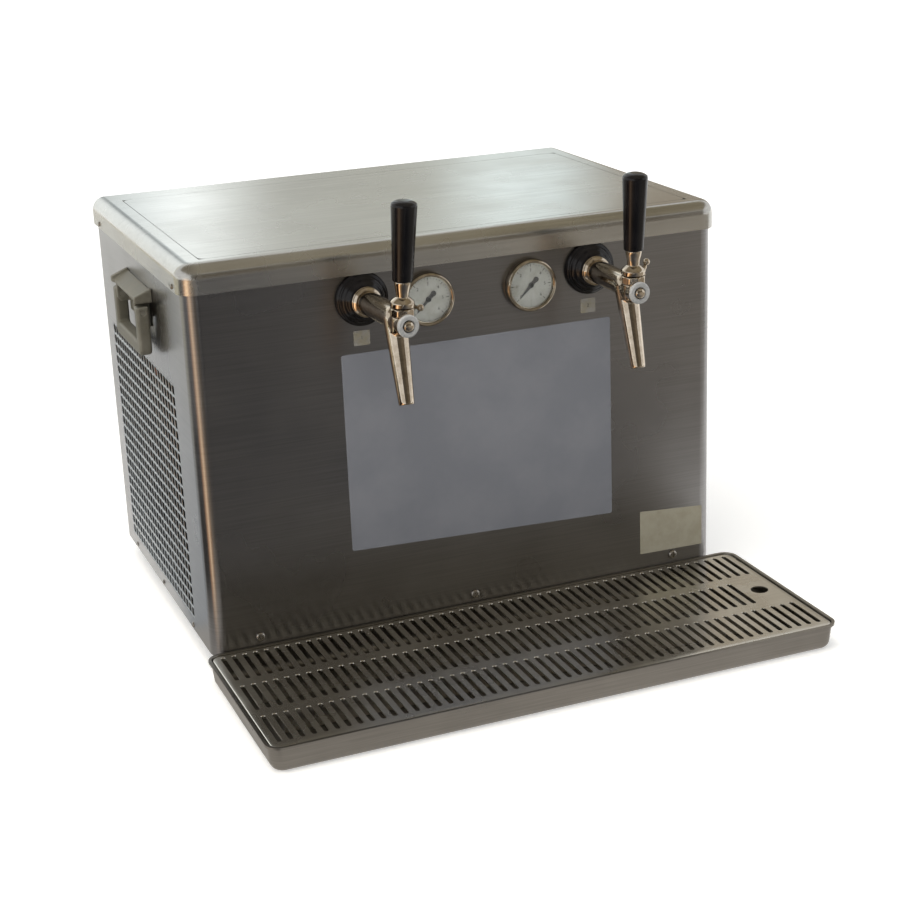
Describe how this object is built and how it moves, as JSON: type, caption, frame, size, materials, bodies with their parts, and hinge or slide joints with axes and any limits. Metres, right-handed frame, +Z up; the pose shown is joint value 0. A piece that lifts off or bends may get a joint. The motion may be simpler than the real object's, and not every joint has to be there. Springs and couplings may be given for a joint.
{
  "type": "two-tap over-counter beer cooler",
  "caption": "Two-tap over-counter beer cooler with gauges, carry handles, side grilles and a slotted drip tray.",
  "frame": {"origin": "on the counter under the middle of the whole, tray and handles included", "axes": "+Z up, taps and drip tray face -Y, +X to the user's right"},
  "size_m": [0.5616, 0.567, 0.4476],
  "materials": {
    "panel_steel": "brushed",
    "side_steel": "brushed",
    "lid_steel": "brushed",
    "tray_steel": "brushed",
    "zinc_steel": "satin",
    "screw_steel": "satin",
    "tap_chrome": "polished",
    "gauge_brass_chrome": "polished",
    "black_gloss": "gloss",
    "handle_plastic": "matte",
    "ring_plastic": "gloss",
    "dial_white": "matte",
    "pointer_black": "matte",
    "lens_glass": "clear",
    "label_white": "satin",
    "foot_rubber": "matte",
    "block_aluminium": "cast",
    "foam": "matte",
    "line_plastic": "gloss",
    "inlet_brass": "satin",
    "copper": "satin",
    "machine_black": "satin",
    "fan_plastic": "matte"
  },
  "bodies": {
    "cabinet": {"chassis_pan": "zinc_steel", "cabinet_wrap": "panel_steel", "left_grille": "side_steel", "right_grille": "side_steel", "rear_panel": "zinc_steel", "rubber_feet": "foot_rubber", "foot_bolts": "screw_steel", "lid_frame": "lid_steel", "lid_top_sheet": "lid_steel", "small_screws": "screw_steel", "front_screws": "screw_steel", "tap_collars": "tap_chrome", "tap_shanks": "tap_chrome", "shank_nuts": "tap_chrome", "union_nuts": "tap_chrome", "front_rings": "ring_plastic", "valve_domes": "tap_chrome", "gauge_bezels": "gauge_brass_chrome", "gauge_dials": "dial_white", "gauge_lenses": "lens_glass", "handle_pins": "screw_steel", "info_sheet": "label_white", "rating_plate": "label_white", "tap_number_labels": "label_white", "cold_block": "block_aluminium", "insulation_jacket": "foam", "beer_lines": "line_plastic", "gas_lines": "line_plastic", "rear_inlets": "inlet_brass", "condenser": "block_aluminium", "fan_shroud": "zinc_steel", "fan_motor": "machine_black", "compressor": "machine_black", "refrigerant_lines": "copper", "thermostat": "fan_plastic", "power_inlet": "fan_plastic", "left_rosette": "black_gloss", "left_tap_body": "tap_chrome", "left_gauge_case": "zinc_steel", "left_handle_base": "handle_plastic", "right_rosette": "black_gloss", "right_tap_body": "tap_chrome", "right_gauge_case": "zinc_steel", "right_handle_base": "handle_plastic"},
    "drip_tray": {"drip_tray": "tray_steel"},
    "drip_grid": {"drip_grid": "tray_steel"},
    "fan": {"fan_rotor": "fan_plastic"},
    "thermostat_knob": {"thermostat_knob": "fan_plastic"},
    "left_lever": {"left_tap_lever": "tap_chrome", "left_lever_grip": "black_gloss"},
    "left_piston": {"left_tap_piston": "tap_chrome"},
    "left_flow_control": {"left_flow_lever": "tap_chrome"},
    "left_pointer": {"left_gauge_pointer": "pointer_black"},
    "left_bail": {"left_handle_bail": "handle_plastic"},
    "right_lever": {"right_tap_lever": "tap_chrome", "right_lever_grip": "black_gloss"},
    "right_piston": {"right_tap_piston": "tap_chrome"},
    "right_flow_control": {"right_flow_lever": "tap_chrome"},
    "right_pointer": {"right_gauge_pointer": "pointer_black"},
    "right_bail": {"right_handle_bail": "handle_plastic"}
  },
  "joints": [
    {"name": "left_lever_pivot", "type": "hinge", "parent": "cabinet", "child": "left_lever", "pos_m": [-0.09648, -0.17117, 0.35029], "axis": [0.9966, 0.0697, -0.0436], "range_deg": [-8, 20]},
    {"name": "left_piston_slide", "type": "slide", "parent": "cabinet", "child": "left_piston", "axis": [-0.0698, 0.9976, 0], "range_m": [-0.0015, 0.0036]},
    {"name": "left_flow_pivot", "type": "hinge", "parent": "cabinet", "child": "left_flow_control", "pos_m": [-0.08745, -0.15751, 0.34936], "axis": [0.9966, 0.0697, -0.0436], "range_deg": [-50, 10]},
    {"name": "left_pointer_pivot", "type": "hinge", "parent": "cabinet", "child": "left_pointer", "pos_m": [-0.03915, -0.0855, 0.3343], "axis": [0, 1, 0], "range_deg": [0, 270]},
    {"name": "left_bail_pivot", "type": "hinge", "parent": "cabinet", "child": "left_bail", "pos_m": [-0.2734, 0.0935, 0.323], "axis": [0, 1, 0], "range_deg": [0, 85]},
    {"name": "right_lever_pivot", "type": "hinge", "parent": "cabinet", "child": "right_lever", "pos_m": [0.12525, -0.1705, 0.3503], "axis": [1, 0, 0], "range_deg": [-8, 20]},
    {"name": "right_piston_slide", "type": "slide", "parent": "cabinet", "child": "right_piston", "axis": [0, 1, 0], "range_m": [-0.0015, 0.0036]},
    {"name": "right_flow_pivot", "type": "hinge", "parent": "cabinet", "child": "right_flow_control", "pos_m": [0.13525, -0.1575, 0.3498], "axis": [1, 0, 0], "range_deg": [0, 60]},
    {"name": "right_pointer_pivot", "type": "hinge", "parent": "cabinet", "child": "right_pointer", "pos_m": [0.06315, -0.0855, 0.3343], "axis": [0, 1, 0], "range_deg": [0, 270]},
    {"name": "right_bail_pivot", "type": "hinge", "parent": "cabinet", "child": "right_bail", "pos_m": [0.2689, 0.0935, 0.323], "axis": [0, -1, 0], "range_deg": [0, 85]},
    {"name": "tray_slide", "type": "slide", "parent": "cabinet", "child": "drip_tray", "axis": [0, -1, 0], "range_m": [0, 0.08]},
    {"name": "grid_lift", "type": "slide", "parent": "drip_tray", "child": "drip_grid", "axis": [0, 0, 1], "range_m": [0, 0.04]},
    {"name": "fan_spin", "type": "hinge", "parent": "cabinet", "child": "fan", "pos_m": [-0.20895, 0.1275, 0.14], "axis": [1, 0, 0], "continuous": true},
    {"name": "thermostat_turn", "type": "hinge", "parent": "cabinet", "child": "thermostat_knob", "pos_m": [0.20275, 0.2735, 0.3], "axis": [0, 1, 0], "range_deg": [0, 270]}
  ],
  "couplings": [
    {"joint": "left_piston_slide", "follows": "left_lever_pivot", "m_per_rad": 0.0098},
    {"joint": "right_piston_slide", "follows": "right_lever_pivot", "m_per_rad": 0.0098}
  ]
}
